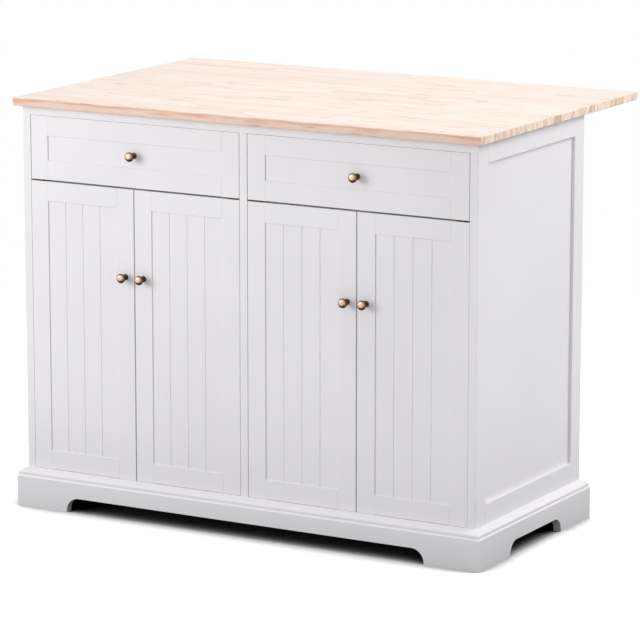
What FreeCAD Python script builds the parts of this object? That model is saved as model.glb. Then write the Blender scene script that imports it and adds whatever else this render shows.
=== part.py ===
# Kitchen island with a drop leaf: a framed cabinet on a moulded plinth, two drawers over four
# doors, a solid wood top, and a leaf behind it on folding brackets.
#
# Frame, in millimetres: +X to the right as seen from the front, +Y to the back, +Z up.
# The origin is on the floor, under the centre of the island with its leaf raised.
import FreeCAD, Part
import math
import os

import Sketcher

SIZES = {
    # worktop and leaf
    "worktop_height": 914,          # floor to the top face
    "worktop_thickness": 18,
    "worktop_side_overhang": 14,
    "worktop_front_overhang": 19,
    "worktop_back_overhang": 20,    # from the carcass back to the seam
    "worktop_edge_radius": 2,
    "seam_gap": 1,                  # between worktop and raised leaf
    "leaf_depth": 218,
    # carcass
    "carcass_width": 1116,
    "carcass_depth": 495,
    "side_thickness": 19,
    "side_frame_width": 44.5,       # stiles and top rails of the side and back frames
    "side_bottom_rail_low": 50,
    "side_bottom_rail_high": 131.8,
    "side_panel_recess": 7,
    "side_panel_thickness": 6,
    "partition_thickness": 18,
    "bottom_thickness": 18,
    "bottom_lip": 1,                # how far the bottom panel lies under the plinth's top edge
    "top_rail_height": 19.5,
    "top_rail_depth": 60,
    "mid_rail_thickness": 18,
    "mid_rail_depth": 60,
    # framed boards, and panels in their grooves
    "board_ease": 0.8,              # radius along the face edges of stiles and rails
    "groove_depth": 8,
    "panel_edge_clearance": 1,
    "panel_face_clearance": 0.1,
    # doors and drawer fronts
    "stile_gap": 0.6,               # between an outer door and the cabinet's side
    "partition_gap": 1.1,           # between an inner door and the partition
    "meeting_gap": 2.5,             # between the two doors of a bay
    "door_foot_gap": 0.4,           # between the doors and the plinth's top edge
    "drawer_side_gap": 1.4,         # at each end of a drawer front
    "drawer_top_gap": 0.6,          # between a drawer front and the rail over it
    "drawer_gap": 3.8,              # between a drawer front and the doors under it
    "drawer_front_height": 140.2,
    "front_thickness": 18,
    "front_frame_width": 43,
    "front_panel_recess": 2.2,
    "seat_clearance": 0.3,          # running gap between pieces that move past each other
    "bead_panel_thickness": 8,
    "bead_groove_width": 2.4,
    "bead_groove_depth": 1.2,
    "drawer_panel_thickness": 6,
    # knobs
    "knob_length": 25,
    "knob_base_radius": 6.8,
    "knob_base_thickness": 2.4,
    "knob_neck_radius": 6,
    "knob_neck_reach": 7,           # from the wall to the narrowest place
    "knob_head_back_radius": 9.6,
    "knob_rim_length": 3.5,
    "knob_head_radius": 10.3,
    "knob_dome_height": 4.5,
    "knob_foot_cove": 9,
    "knob_neck_cove": 14,
    "knob_rim_round": 4,
    "knob_dome": 9,                 # the dome's own curve
    "knob_face_radius": 3.5,
    "knob_drop": 192.9,             # from the door's top edge
    "screw_radius": 2,
    "screw_bite": 10,
    "screw_head_radius": 4,
    "screw_head_height": 2,
    "screw_hole_clearance": 0.25,
    # door pivots
    "pivot_inset": 20,              # from the door's hinge edge
    "pivot_setback": 4,             # from the door's face
    "pivot_pin_radius": 2,
    "pivot_pin_reach": 9,
    "pivot_hole_extra": 1,
    "running_clearance": 0.05,      # radial, pin in hole
    "pivot_plate_half_width": 11,
    "pivot_plate_margin": 1,
    "pivot_plate_tail": 45,
    "drawer_pass": 1,               # between the upper plates and a drawer front
    "stop_block_width": 44,
    "stop_block_height": 14,
    "stop_block_depth": 22,
    # drawer boxes and runners
    "box_board": 12,
    "box_height": 92,
    "box_back_gap": 38,             # from the drawer box to the back frame
    "box_lift": 3.5,                # over the mid rail
    "box_bottom_thickness": 6,
    "box_bottom_lift": 10,
    "box_groove_depth": 6,
    "runner_space": 13,
    "runner_height": 45,
    "runner_lift": 22,              # over the bottom edge of the drawer box
    "runner_steel": 1.5,
    "runner_side_gap": 3,           # between the channel and the drawer box
    "runner_lip": 5.5,
    "runner_setback": 22,
    "runner_back_gap": 16,          # from the channel to the back frame
    "slider_back_gap": 16,          # short of the drawer box's back
    # shelves
    "shelf_thickness": 16,
    "shelf_height": 410,            # floor to the shelf's underside
    "shelf_end_gap": 1,
    "shelf_front": 32,              # from the cabinet's front line, behind the swinging doors
    "shelf_back_gap": 4,
    "shelf_pin_radius": 2.5,
    "shelf_pin_reach": 8,           # out of the wall
    "shelf_pin_cover": 1,           # wood left between a hole and the partition's middle
    "shelf_pin_inset": 5.5,         # from the groove in a side stile
    # plinth
    "plinth_height": 87.5,
    "plinth_projection": 18,
    "plinth_lip": 0.6,              # thickness of the top edge
    "plinth_hollow_reach": 6,       # from the wall to where the hollow turns into the swell
    "plinth_hollow_drop": 3.6,
    "plinth_hollow_radius": 11.8,
    "plinth_swell_drop": 7.5,
    "plinth_swell_radius": 19,
    "plinth_riser": 6,
    "plinth_bead_reach": 2.4,
    "plinth_bead_drop": 4,
    "plinth_bead_radius": 4.5,
    "plinth_flat": 0.2,             # least flat left beside a rounded edge
    "front_foot_length": 130,
    "side_foot_length": 144,
    "arch_rise": 33,
    "arch_radius": 30,
    "corner_block": 40,
    # worktop fixings
    "angle_leg": 18,
    "angle_width": 20,
    "angle_steel": 2,
    "angle_spacing": 400,
    "angle_partition_gap": 1,
    # folding leaf brackets
    "bracket_offset": 300,          # from the middle to each bracket
    "leaf_pivot_drop": 12,          # from the leaf's underside to its pivot
    "leaf_pivot_radius": 3,
    "strut_pivot_drop": 60,         # from the leaf's pivot to the strut's
    "strut_pin_radius": 2.5,
    "strut_radius": 6,
    "strut_half_width": 7.5,
    "strut_steel": 1.6,
    "strut_side_gap": 0.7,          # to each flange of the wall arm
    "wall_arm_steel": 1.8,
    "wall_arm_foot_depth": 8,
    "wall_arm_top": 6,              # over and in front of the leaf's pivot
    "wall_arm_foot": 4,             # below the folded strut's tip pin
    "wall_arm_taper_low": 15,
    "wall_arm_taper_high": 42,
    "arm_side_gap": 0.4,
    "table_arm_steel": 1.8,
    "table_arm_end_gap": 14,        # short of the leaf's free edge
    "table_arm_depth": 18,          # under the line through its pivot
    "table_arm_heel": 6,
    "table_arm_web_gap": 2,         # from the seam to the web
    "table_arm_deep_before": 20,    # full depth before the slot starts
    "table_arm_nose": 12,
    "slot_clearance": 0.15,
    "slot_end_gap": 15,             # from the slot's end to the arm's tip
    "pin_head": 1.5,
    "pin_head_extra": 2,
    "pin_head_gap": 0.2,
}
BEAD_BOARDS = 4                     # boards across each door panel
SLOT_STEPS = 12                     # points on the curve of the bracket's slot
SAME = 0.01                         # lengths closer than this are the same place

doc = FreeCAD.newDocument("drop_leaf_island")
sheet = doc.addObject("Spreadsheet::Sheet", "Sizes")
for row, (alias, number) in enumerate(SIZES.items(), start=1):
    sheet.set(f"A{row}", alias)
    sheet.set(f"B{row}", str(number))
    sheet.setAlias(f"B{row}", alias)
doc.recompute()


class Size:
    """A length that keeps its number and the sheet formula that it comes from."""

    def __init__(self, number, formula):
        self.number = number
        self.formula = formula

    def __add__(self, other):
        other = as_size(other)
        return Size(self.number + other.number, f"({self.formula} + {other.formula})")

    def __sub__(self, other):
        other = as_size(other)
        return Size(self.number - other.number, f"({self.formula} - {other.formula})")

    def __mul__(self, other):
        other = as_size(other)
        return Size(self.number * other.number, f"({self.formula} * {other.formula})")

    def __truediv__(self, other):
        other = as_size(other)
        return Size(self.number / other.number, f"({self.formula} / {other.formula})")

    def __neg__(self):
        return Size(-self.number, f"(0 - {self.formula})")

    def __radd__(self, other):
        return as_size(other) + self

    def __rsub__(self, other):
        return as_size(other) - self

    def __rmul__(self, other):
        return as_size(other) * self


def as_size(value):
    """A plain number as a Size."""
    if isinstance(value, Size):
        return value
    return Size(value, f"({value})")


def size(alias):
    """The Size of one cell of the sheet."""
    return Size(sheet.get(alias), f"Sizes.{alias}")


def at_most(value, limit):
    """The smaller of two Sizes."""
    return Size(min(value.number, limit.number), f"min({value.formula}; {limit.formula})")


def leg(hypotenuse, other):
    """The third side of a right-angled triangle."""
    square = hypotenuse * hypotenuse - other * other
    return Size(math.sqrt(square.number), f"sqrt({square.formula})")


def bind(thing, field, value):
    """Tie a property to the sheet."""
    thing.setExpression(field, as_size(value).formula)


def bind_base(thing, x, y, z, rotation=None):
    """Tie a placement's corner to the sheet, after an optional turn."""
    if rotation is not None:
        thing.Placement = FreeCAD.Placement(FreeCAD.Vector(), rotation)
    for axis, value in zip("xyz", (x, y, z)):
        bind(thing, f"Placement.Base.{axis}", value)
    return thing


def about_z(angle):
    """A turn about the vertical."""
    return FreeCAD.Rotation(FreeCAD.Vector(0, 0, 1), angle)


# ---------------------------------------------------------------- primitives and booleans
ALONG = {
    "x": FreeCAD.Rotation(FreeCAD.Vector(0, 1, 0), 90),
    "y": FreeCAD.Rotation(FreeCAD.Vector(1, 0, 0), -90),
    "z": FreeCAD.Rotation(),
}


def block(name, low, high):
    """A square-edged board between two corners."""
    solid = doc.addObject("Part::Box", name)
    for side, start, end in zip(("Length", "Width", "Height"), low, high):
        bind(solid, side, as_size(end) - start)
    return bind_base(solid, *low)


def rod(name, start, axis, radius, length):
    """A round bar that runs from its start point along +X, +Y or +Z."""
    solid = doc.addObject("Part::Cylinder", name)
    bind(solid, "Radius", radius)
    bind(solid, "Height", length)
    return bind_base(solid, *start, rotation=ALONG[axis])


def join(name, pieces):
    """Pieces made as one solid."""
    fused = doc.addObject("Part::MultiFuse", name)
    fused.Shapes = pieces
    fused.Refine = True
    return fused


def carve(name, base, tools):
    """A piece with material taken away."""
    cut = doc.addObject("Part::Cut", name)
    cut.Base = base
    cut.Tool = tools[0] if len(tools) == 1 else join(f"{name}_tools", tools)
    return cut


def group(name, pieces):
    """Separate solids that share one node."""
    compound = doc.addObject("Part::Compound", name)
    compound.Links = pieces
    return compound


sub_parts = []


def sub_part(node, thing):
    """Name a finished sub-part after its node."""
    thing.Label = node
    if thing.Label != node:
        raise RuntimeError(f"another object is already called {node}")
    sub_parts.append(thing)
    return thing


# ---------------------------------------------------------------- sketches and bodies
def plane(body, role):
    """One of a body's own origin planes."""
    return next(feature for feature in body.Origin.OriginFeatures if feature.Role == role)


def bend(start, end, radius):
    """An arc between two points; a positive radius bulges to the left of the way there."""
    chord = end - start
    half = chord.Length / 2
    sagitta = abs(radius) - math.sqrt(radius ** 2 - half ** 2)
    left = FreeCAD.Vector(-chord.y, chord.x, 0).normalize()
    middle = (start + end) * 0.5 + left * math.copysign(sagitta, radius)
    return Part.Arc(start, middle, end)


def outline(body, name, role, corners):
    """A closed sketch through corners, each (across, up), or (across, up, radius) before an arc."""
    sketch = body.newObject("Sketcher::SketchObject", name)
    sketch.AttachmentSupport = (plane(body, role), [""])
    sketch.MapMode = "FlatFace"
    spots = [FreeCAD.Vector(as_size(across).number, as_size(up).number, 0) for across, up, *_ in corners]
    count = len(corners)
    for index, corner in enumerate(corners):
        start, end = spots[index], spots[(index + 1) % count]
        if len(corner) == 2:
            sketch.addGeometry(Part.LineSegment(start, end))
        else:
            sketch.addGeometry(bend(start, end, corner[2].number))

    def end_at(edge, spot):
        return min((1, 2), key=lambda end: sketch.getPoint(edge, end).distanceToPoint(spot))

    for index, corner in enumerate(corners):
        spot, before = spots[index], (index - 1) % count
        here = end_at(index, spot)
        sketch.addConstraint(Sketcher.Constraint("Coincident", before, end_at(before, spot), index, here))
        for kind, value, number in (("DistanceX", corner[0], spot.x), ("DistanceY", corner[1], spot.y)):
            rule = sketch.addConstraint(Sketcher.Constraint(kind, -1, 1, index, here, number))
            bind(sketch, f"Constraints[{rule}]", value)
        if len(corner) == 3:
            radius = corner[2] if corner[2].number > 0 else -corner[2]
            rule = sketch.addConstraint(Sketcher.Constraint("Radius", index, radius.number))
            bind(sketch, f"Constraints[{rule}]", radius)
    return sketch


def rectangle(low, high):
    """The corners of an upright rectangle."""
    return [(low[0], low[1]), (high[0], low[1]), (high[0], high[1]), (low[0], high[1])]


def extrude(body, kind, sketch, length, side="One side", flip=False):
    """A pad or pocket of a sketch."""
    feature = body.newObject(f"PartDesign::{kind}", f"{sketch.Name}_{kind.lower()}")
    feature.Profile = sketch
    feature.SideType = side
    feature.Reversed = flip
    bind(feature, "Length", length)
    return feature


def round_edges(body, name, radius, wanted):
    """Fillet the body's edges whose middle passes a test."""
    doc.recompute()
    tip = body.Tip
    edges = [f"Edge{index}" for index, edge in enumerate(tip.Shape.Edges, start=1) if wanted(edge)]
    fillet = body.newObject("PartDesign::Fillet", name)
    fillet.Base = (tip, edges)
    bind(fillet, "Radius", radius)
    return fillet


def new_body(name):
    """An empty body."""
    return doc.addObject("PartDesign::Body", name)


def near(value, target):
    """Whether a number is the same place as a Size."""
    return abs(value - target.number) < SAME


# ---------------------------------------------------------------- shared planes of the island
leaf_edge = (size("carcass_depth") + size("worktop_back_overhang") + size("seam_gap")
             + size("leaf_depth"))
front = -(leaf_edge - size("knob_length")) / 2      # carcass front, also the face of doors and drawers
back = front + size("carcass_depth")
seam = back + size("worktop_back_overhang")
half_width = size("carcass_width") / 2
inner = half_width - size("side_thickness")
half_partition = size("partition_thickness") / 2
back_inner = back - size("side_thickness")
worktop_under = size("worktop_height") - size("worktop_thickness")
side_top_rail_low = worktop_under - size("side_frame_width")
bottom_top = size("plinth_height") - size("bottom_lip")
bottom_under = bottom_top - size("bottom_thickness")
top_rail_under = worktop_under - size("top_rail_height")
drawer_top = top_rail_under - size("drawer_top_gap")
drawer_bottom = drawer_top - size("drawer_front_height")
door_top = drawer_bottom - size("drawer_gap")
door_bottom = size("plinth_height") + size("door_foot_gap")
door_height = door_top - door_bottom
bay_width = inner - half_partition
door_width = (bay_width - size("stile_gap") - size("meeting_gap") - size("partition_gap")) / 2
drawer_width = bay_width - size("drawer_side_gap") * 2
mid_rail_under = drawer_bottom - size("drawer_pass")
mid_rail_top = mid_rail_under + size("mid_rail_thickness")
behind_fronts = front + size("front_thickness") + size("seat_clearance")
BAYS = {"left": -inner, "right": half_partition}    # each bay's left wall


# ---------------------------------------------------------------- framed panels
def groove_faces(recess, thickness):
    """Where a panel's groove starts and ends, behind the face of its frame."""
    return recess - size("panel_face_clearance"), recess + thickness + size("panel_face_clearance")


def section(outer, toward, width, thickness, groove, upright=True):
    """A board's cross-section, face at depth 0: eased along its face, grooved on its inner edge.

    It starts at the outer edge and runs in the direction of the sign toward, along X where the
    board is upright and along Z where it lies flat."""
    ease, depth = size("board_ease"), size("groove_depth")
    corners = []
    for distance, back_off, *arc in (
            (0, ease, "arc"), (ease, 0), (width - ease, 0, "arc"), (width, ease), (width, groove[0]),
            (width - depth, groove[0]), (width - depth, groove[1]), (width, groove[1]),
            (width, thickness), (0, thickness)):
        spot = (outer + distance * toward, as_size(back_off))
        bulge = ease * (-toward if upright else toward)
        corners.append((spot if upright else spot[::-1]) + ((bulge,) if arc else ()))
    return corners


def frame(name, width, levels, frame_width, thickness, recess, panel_thickness, holes=()):
    """Two stiles and two rails, face at y = 0; rails have tongues in the stiles' grooves.

    levels are the heights of the stiles' foot, the two edges of the bottom rail, the two edges
    of the top rail and the stiles' top; holes are rods to take from the left or right stile."""
    foot, bottom_low, bottom_high, top_low, top_high, head = levels
    groove = groove_faces(recess, panel_thickness)
    depth = size("groove_depth")
    stiles, rails = [], []
    for side, outer, toward in (("left", as_size(0), 1), ("right", width, -1)):
        stile = new_body(f"{name}_{side}_stile")
        profile = outline(stile, f"{name}_{side}_stile_section", "XY_Plane",
                          section(outer, toward, frame_width, thickness, groove))
        extrude(stile, "Pad", profile, head - foot)
        bind_base(stile, 0, 0, foot)
        drilled = [hole for hole_side, hole in holes if hole_side == side]
        stiles.append(carve(f"{name}_{side}_stile_drilled", stile, drilled) if drilled else stile)
    for level, outer, toward, height in (("bottom", bottom_low, 1, bottom_high - bottom_low),
                                         ("top", top_high, -1, top_high - top_low)):
        rail = new_body(f"{name}_{level}_rail")
        profile = outline(rail, f"{name}_{level}_rail_section", "YZ_Plane",
                          section(outer, toward, height, thickness, groove, upright=False))
        extrude(rail, "Pad", profile, width - frame_width * 2)
        bind_base(rail, frame_width, 0, 0)
        tongue_low = bottom_low if level == "bottom" else top_low + depth
        tongue = block(f"{name}_{level}_rail_tongue", (frame_width - depth, groove[0], tongue_low),
                       (width - frame_width + depth, groove[1], tongue_low + height - depth))
        rails.append(join(f"{name}_{level}_rail_tenoned", [rail, tongue]))
    return stiles, rails


def panel_corners(width, levels, frame_width):
    """Low and high corners of the panel in a frame, across and up."""
    reach = size("groove_depth") - size("panel_edge_clearance")
    return ((frame_width - reach, levels[2] - reach), (width - frame_width + reach, levels[3] + reach))


# ---------------------------------------------------------------- worktop and leaf
def slab(node, low, high, seam_edge):
    """A worktop board with eased edges, square where it meets the seam."""
    body = new_body(f"{node}_body")
    half = (high[0] - low[0]) / 2
    plan = outline(body, f"{node}_plan", "XY_Plane", rectangle((-half, low[1]), (half, high[1])))
    extrude(body, "Pad", plan, size("worktop_thickness"))
    round_edges(body, f"{node}_easing", size("worktop_edge_radius"),
                lambda edge: not near(edge.CenterOfMass.y, seam_edge))
    bind_base(body, 0, 0, worktop_under)
    return sub_part(node, body)


half_top = half_width + size("worktop_side_overhang")
leaf_front = seam + size("seam_gap")
slab("worktop", (-half_top, front - size("worktop_front_overhang")), (half_top, seam), seam)
slab("drop_leaf", (-half_top, leaf_front), (half_top, leaf_front + size("leaf_depth")), leaf_front)


# ---------------------------------------------------------------- side frames
side_levels = (as_size(0), size("side_bottom_rail_low"), size("side_bottom_rail_high"),
               side_top_rail_low, worktop_under, worktop_under)
pin_radius = size("shelf_pin_radius") + size("running_clearance")
shelf_pin_height = size("shelf_height") - size("shelf_pin_radius")
shelf_pin_seat = half_partition - size("shelf_pin_cover")
shelf_pin_setback = size("side_frame_width") - size("groove_depth") - size("shelf_pin_inset")


def shelf_pin_holes(name, start_x):
    """Two blind holes for shelf pins, front and back, on one wall."""
    return [rod(f"{name}_{place}", (start_x, y, shelf_pin_height), "x", pin_radius, shelf_pin_seat)
            for place, y in (("front", front + shelf_pin_setback), ("back", back - shelf_pin_setback))]


def side_frame(side):
    """The framed side of the carcass, built flat and turned to face outwards."""
    depth = size("side_thickness")
    holes = [(stile, rod(f"{side}_side_pin_hole_{stile}", (x, depth - shelf_pin_seat, shelf_pin_height),
                         "y", pin_radius, shelf_pin_seat))
             for stile, x in (("left", shelf_pin_setback),
                              ("right", size("carcass_depth") - shelf_pin_setback))]
    stiles, rails = frame(f"{side}_side", size("carcass_depth"), side_levels, size("side_frame_width"),
                          depth, size("side_panel_recess"), size("side_panel_thickness"), holes)
    low, high = panel_corners(size("carcass_depth"), side_levels, size("side_frame_width"))
    recess = size("side_panel_recess")
    panel = block(f"{side}_side_infill_board", (low[0], recess, low[1]),
                  (high[0], recess + size("side_panel_thickness"), high[1]))
    pieces = (("stiles", group(f"{side}_side_stiles", stiles)),
              ("rails", group(f"{side}_side_rails", rails)),
              ("panel", group(f"{side}_side_infill", [panel])))
    for kind, piece in pieces:
        if side == "right":
            bind_base(piece, half_width, front, 0, about_z(90))
        else:
            bind_base(piece, -half_width, back, 0, about_z(-90))
        sub_part(f"{side}_side_{kind}", piece)


side_frame("left")
side_frame("right")


# ---------------------------------------------------------------- back frame
def muntin(name, middle, low, high, groove):
    """An inner stile of the back frame, grooved on both edges, with a tongue at each end."""
    half, thickness = size("side_frame_width") / 2, size("side_thickness")
    ease, depth = size("board_ease"), size("groove_depth")
    body = new_body(name)
    corners = [(-half, ease, -ease), (ease - half, 0), (half - ease, 0, -ease), (half, ease)]
    corners += [(half, groove[0]), (half - depth, groove[0]), (half - depth, groove[1]), (half, groove[1])]
    corners += [(half, thickness), (-half, thickness)]
    corners += [(-half, groove[1]), (depth - half, groove[1]), (depth - half, groove[0]),
                (-half, groove[0])]
    extrude(body, "Pad", outline(body, f"{name}_section", "XY_Plane", corners), high - low)
    bind_base(body, middle, 0, low)
    tongue = block(f"{name}_tongue", (middle - half + depth, groove[0], low - depth),
                   (middle + half - depth, groove[1], high + depth))
    return join(f"{name}_tenoned", [body, tongue])


def back_frame():
    """The framed back, built flat and turned: stiles, rails, inner stiles and three panels."""
    width, edge = inner * 2, size("side_frame_width")
    recess, thickness = size("side_panel_recess"), size("side_panel_thickness")
    low, high = size("side_bottom_rail_high"), side_top_rail_low
    stiles, rails = frame("back", width, side_levels, edge, size("side_thickness"), recess, thickness)
    middles = (inner - size("bracket_offset"), inner + size("bracket_offset"))
    groove = groove_faces(recess, thickness)
    inner_stiles = [muntin(f"back_muntin_{number}", middle, low, high, groove)
                    for number, middle in enumerate(middles)]
    reach = size("groove_depth") - size("panel_edge_clearance")
    walls = (edge, middles[0] - edge / 2, middles[0] + edge / 2, middles[1] - edge / 2,
             middles[1] + edge / 2, width - edge)
    panels = [block(f"back_panel_{number}", (walls[number * 2] - reach, recess, low - reach),
                    (walls[number * 2 + 1] + reach, recess + thickness, high + reach))
              for number in range(len(walls) // 2)]
    for node, pieces in (("back_outer_stiles", stiles), ("back_rails", rails),
                         ("back_inner_stiles", inner_stiles), ("back_panels", panels)):
        sub_part(node, bind_base(group(f"{node}_set", pieces), inner, back, 0, about_z(180)))


back_frame()


# ---------------------------------------------------------------- inside the carcass
def partition():
    """The upright between the two bays, notched for the top rail and drilled for shelf pins."""
    board = block("partition_board", (-half_partition, front, bottom_top),
                  (half_partition, back_inner, worktop_under))
    notch = block("partition_notch", (-half_partition, front, top_rail_under),
                  (half_partition, front + size("top_rail_depth"), worktop_under))
    holes = []
    for side, start in (("left", -half_partition), ("right", half_partition - shelf_pin_seat)):
        holes += shelf_pin_holes(f"partition_{side}_pin_hole", start)
    sub_part("center_partition", carve("partition", board, [notch] + holes))


partition()
sub_part("bottom_panel", block("bottom_board", (-inner, front, bottom_under),
                               (inner, back_inner, bottom_top)))
sub_part("front_top_rail", block("top_rail_board", (-inner, front, top_rail_under),
                                 (inner, front + size("top_rail_depth"), worktop_under)))
sub_part("mid_rails", group("mid_rail_pair", [
    block(f"mid_rail_{side}", (wall, behind_fronts, mid_rail_under),
          (wall + bay_width, behind_fronts + size("mid_rail_depth"), mid_rail_top))
    for side, wall in BAYS.items()]))


def shelf(side):
    """An adjustable shelf in one bay, resting on four pins."""
    wall, gap = BAYS[side], size("shelf_end_gap")
    board = block(f"{side}_shelf_board", (wall + gap, front + size("shelf_front"), size("shelf_height")),
                  (wall + bay_width - gap, back_inner - size("shelf_back_gap"),
                   size("shelf_height") + size("shelf_thickness")))
    sub_part(f"{side}_shelf", board)
    return [rod(f"{side}_shelf_pin_{end}_{place}", (start, y, shelf_pin_height), "x",
                size("shelf_pin_radius"), shelf_pin_seat + size("shelf_pin_reach"))
            for end, start in (("a", wall - shelf_pin_seat),
                               ("b", wall + bay_width - size("shelf_pin_reach")))
            for place, y in (("front", front + shelf_pin_setback), ("back", back - shelf_pin_setback))]


sub_part("shelf_pins", group("shelf_pin_set", shelf("left") + shelf("right")))


def angle_brackets():
    """Steel angles that hold the worktop down to the front and back rails."""
    wing, steel, half = size("angle_leg"), size("angle_steel"), size("angle_width") / 2
    pieces = []
    rail_back = front + size("top_rail_depth")
    beside_partition = half_partition + size("angle_partition_gap") + half
    for column, middle in (("left", -size("angle_spacing")), ("middle", beside_partition),
                           ("right", size("angle_spacing"))):
        for place, low_y, wall_y in (("front", rail_back, rail_back),
                                     ("back", back_inner - wing, back_inner - steel)):
            flat = block(f"angle_{place}_{column}_flat", (middle - half, low_y, worktop_under - steel),
                         (middle + half, low_y + wing, worktop_under))
            upright = block(f"angle_{place}_{column}_upright",
                            (middle - half, wall_y, worktop_under - wing),
                            (middle + half, wall_y + steel, worktop_under))
            pieces.append(join(f"angle_{place}_{column}", [flat, upright]))
    sub_part("worktop_brackets", group("angle_set", pieces))


angle_brackets()


# ---------------------------------------------------------------- plinth
def plinth_board(node, inner_length, foot, base, turn):
    """A moulded plinth board with mitred ends and an arch between its feet, face towards -Y."""
    out, top = size("plinth_projection"), size("plinth_height")
    turn_out, turn_up = size("plinth_hollow_reach"), top - size("plinth_hollow_drop")
    riser_out, riser_top = out - size("plinth_bead_reach"), turn_up - size("plinth_swell_drop")
    bead_top = riser_top - size("plinth_riser")
    rise, flat = size("arch_rise"), size("plinth_flat")
    half_inner = inner_length / 2
    half_outer = half_inner + out
    half_arch = half_outer - foot
    body = new_body(f"{node}_body")
    profile = outline(body, f"{node}_profile", "YZ_Plane",
                      [(0, 0), (-out, 0),
                       (-out, bead_top - size("plinth_bead_drop"), size("plinth_bead_radius")),
                       (-riser_out, bead_top),
                       (-riser_out, riser_top, size("plinth_swell_radius")),
                       (-turn_out, turn_up, -size("plinth_hollow_radius")),
                       (-size("plinth_lip"), top), (0, top)])
    extrude(body, "Pad", profile, half_outer * 2, side="Symmetric")
    arch = outline(body, f"{node}_arch", "XZ_Plane",
                   rectangle((-half_arch, 0), (half_arch, rise)))
    extrude(body, "Pocket", arch, out * 2, side="Symmetric")
    for end, sign in (("left", -1), ("right", 1)):
        mitre = outline(body, f"{node}_{end}_mitre", "XY_Plane",
                        [(half_inner * sign, 0), (half_outer * sign, -out), (half_outer * sign, 0)])
        extrude(body, "Pocket", mitre, top, flip=True)
    round_edges(body, f"{node}_arch_corners", at_most(size("arch_radius"), rise - flat),
                lambda edge: near(edge.CenterOfMass.y, -out / 2) and near(edge.CenterOfMass.z, rise)
                and near(abs(edge.CenterOfMass.x), half_arch))
    bind_base(body, *base, 0, rotation=about_z(turn))
    sub_part(node, body)


middle_y = (front + back) / 2
plinth_board("plinth_front", size("carcass_width"), size("front_foot_length"), (0, front), 0)
plinth_board("plinth_back", size("carcass_width"), size("front_foot_length"), (0, back), 180)
plinth_board("plinth_left", size("carcass_depth"), size("side_foot_length"), (-half_width, middle_y), -90)
plinth_board("plinth_right", size("carcass_depth"), size("side_foot_length"), (half_width, middle_y), 90)

sub_part("base_corner_blocks", group("corner_block_set", [
    block(f"corner_block_{side}_{place}", (low_x, low_y, 0),
          (low_x + size("corner_block"), low_y + size("corner_block"), bottom_under))
    for side, low_x in (("left", -inner), ("right", inner - size("corner_block")))
    for place, low_y in (("front", front), ("back", back_inner - size("corner_block")))]))


# ---------------------------------------------------------------- knobs
def knob(node, x, y, z, wall):
    """A turned knob and the screw that holds it through a wall."""
    shank, bite = size("screw_radius"), size("screw_bite")
    rim = size("knob_length") - size("knob_dome_height")
    body = new_body(f"{node}_turning")
    profile = outline(body, f"{node}_profile", "YZ_Plane", [
        (-bite, 0),
        (-bite, shank + size("running_clearance")),
        (0, shank + size("running_clearance")),
        (0, size("knob_base_radius")),
        (-size("knob_base_thickness"), size("knob_base_radius"), size("knob_foot_cove")),
        (-size("knob_neck_reach"), size("knob_neck_radius"), size("knob_neck_cove")),
        (size("knob_rim_length") - rim, size("knob_head_back_radius"), -size("knob_rim_round")),
        (-rim, size("knob_head_radius"), -size("knob_dome")),
        (-size("knob_length"), size("knob_face_radius")),
        (-size("knob_length"), 0)])
    turning = body.newObject("PartDesign::Revolution", f"{node}_revolution")
    turning.Profile = profile
    turning.ReferenceAxis = (profile, ["H_Axis"])
    turning.Angle = 360
    tip = size("seat_clearance") - bite
    screw = join(f"{node}_screw", [
        rod(f"{node}_screw_shank", (0, tip, 0), "y", shank, wall - tip),
        rod(f"{node}_screw_head", (0, wall, 0), "y", size("screw_head_radius"), size("screw_head_height"))])
    sub_part(node, bind_base(group(f"{node}_set", [body, screw]), x, y, z))


def knob_hole(name, x, y, z, wall):
    """The clearance hole for a knob's screw."""
    return rod(name, (x, y, z), "y", size("screw_radius") + size("screw_hole_clearance"), wall)


# ---------------------------------------------------------------- doors
def bead_panel(node, levels, left):
    """A tongued-and-grooved look panel: one board with V grooves down its face."""
    low, high = panel_corners(door_width, levels, size("front_frame_width"))
    recess, thickness = size("front_panel_recess"), size("bead_panel_thickness")
    sight = door_width - size("front_frame_width") * 2
    half_groove = size("bead_groove_width") / 2
    section = [(low[0], recess)]
    for number in range(1, BEAD_BOARDS):
        middle = size("front_frame_width") + sight * number / BEAD_BOARDS
        section += [(middle - half_groove, recess), (middle, recess + size("bead_groove_depth")),
                    (middle + half_groove, recess)]
    section += [(high[0], recess), (high[0], recess + thickness), (low[0], recess + thickness)]
    body = new_body(f"{node}_body")
    extrude(body, "Pad", outline(body, f"{node}_section", "XY_Plane", section), high[1] - low[1])
    sub_part(node, bind_base(body, left, front, door_bottom + low[1]))


door_levels = (as_size(0), as_size(0), size("front_frame_width"),
               door_height - size("front_frame_width"), door_height, door_height)
pivot_hole_depth = size("pivot_pin_reach") + size("pivot_hole_extra")


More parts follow.
